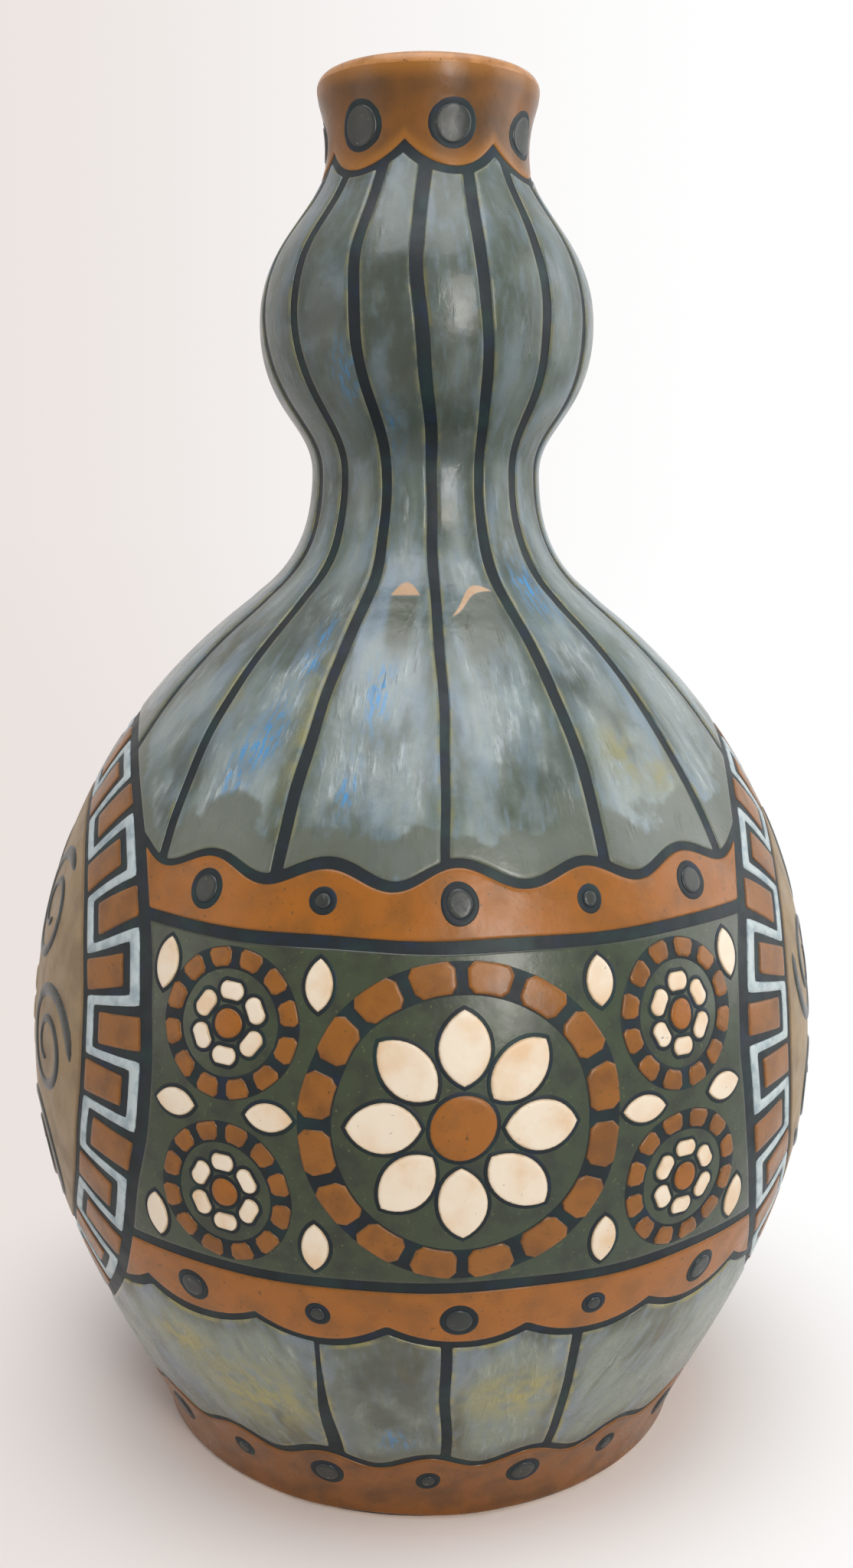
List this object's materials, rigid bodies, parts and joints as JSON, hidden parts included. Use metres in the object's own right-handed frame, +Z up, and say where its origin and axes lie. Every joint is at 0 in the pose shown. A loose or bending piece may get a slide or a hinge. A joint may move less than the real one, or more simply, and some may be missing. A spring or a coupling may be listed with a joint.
{
  "type": "vase",
  "caption": "Stoneware bottle vase of double-gourd form: wide belly, narrow waist, small bulb and flared lip, with glazed bands, floral panels and round side fields.",
  "frame": {"origin": "centre of the foot ring, on the surface that the vase stands on", "axes": "+Z up along the vase's axis, -Y out of the front panel, +X out of one side roundel"},
  "size_m": [0.1806, 0.1806, 0.3],
  "materials": {
    "slip_wall": "dark glazed slip with bare clay at the foot",
    "lip_glaze": "satin ochre glaze, dark glaze inside",
    "ochre_glaze": "satin ochre glaze with brown mottling",
    "lustre_glaze": "mottled grey-green glaze with blue and whitish streaks",
    "green_glaze": "dark olive-green glaze",
    "cream_glaze": "cream glaze",
    "tan_glaze": "satin tan glaze",
    "dot_glaze": "glossy dark grey-green glaze",
    "key_glaze": "pale grey-blue glaze"
  },
  "bodies": {
    "root": {"lower_bowl": "slip_wall", "shoulder": "slip_wall", "bulb": "slip_wall", "collar": "lip_glaze", "collar_band": "ochre_glaze", "collar_dots": "dot_glaze", "neck_gores": "lustre_glaze", "upper_band": "ochre_glaze", "upper_band_dots": "dot_glaze", "lower_band": "ochre_glaze", "lower_band_dots": "dot_glaze", "skirt_gores": "lustre_glaze", "foot_band": "ochre_glaze", "foot_band_dots": "dot_glaze", "front_field": "green_glaze", "front_blocks": "ochre_glaze", "front_petals": "cream_glaze", "front_hearts": "ochre_glaze", "front_leaves": "cream_glaze", "back_field": "green_glaze", "back_blocks": "ochre_glaze", "back_petals": "cream_glaze", "back_hearts": "ochre_glaze", "back_leaves": "cream_glaze", "left_tondo": "tan_glaze", "left_key_line": "key_glaze", "left_key_blocks": "ochre_glaze", "left_volutes": "dot_glaze", "left_rosette": "cream_glaze", "right_tondo": "tan_glaze", "right_key_line": "key_glaze", "right_key_blocks": "ochre_glaze", "right_volutes": "dot_glaze", "right_rosette": "cream_glaze"}
  },
  "joints": []
}
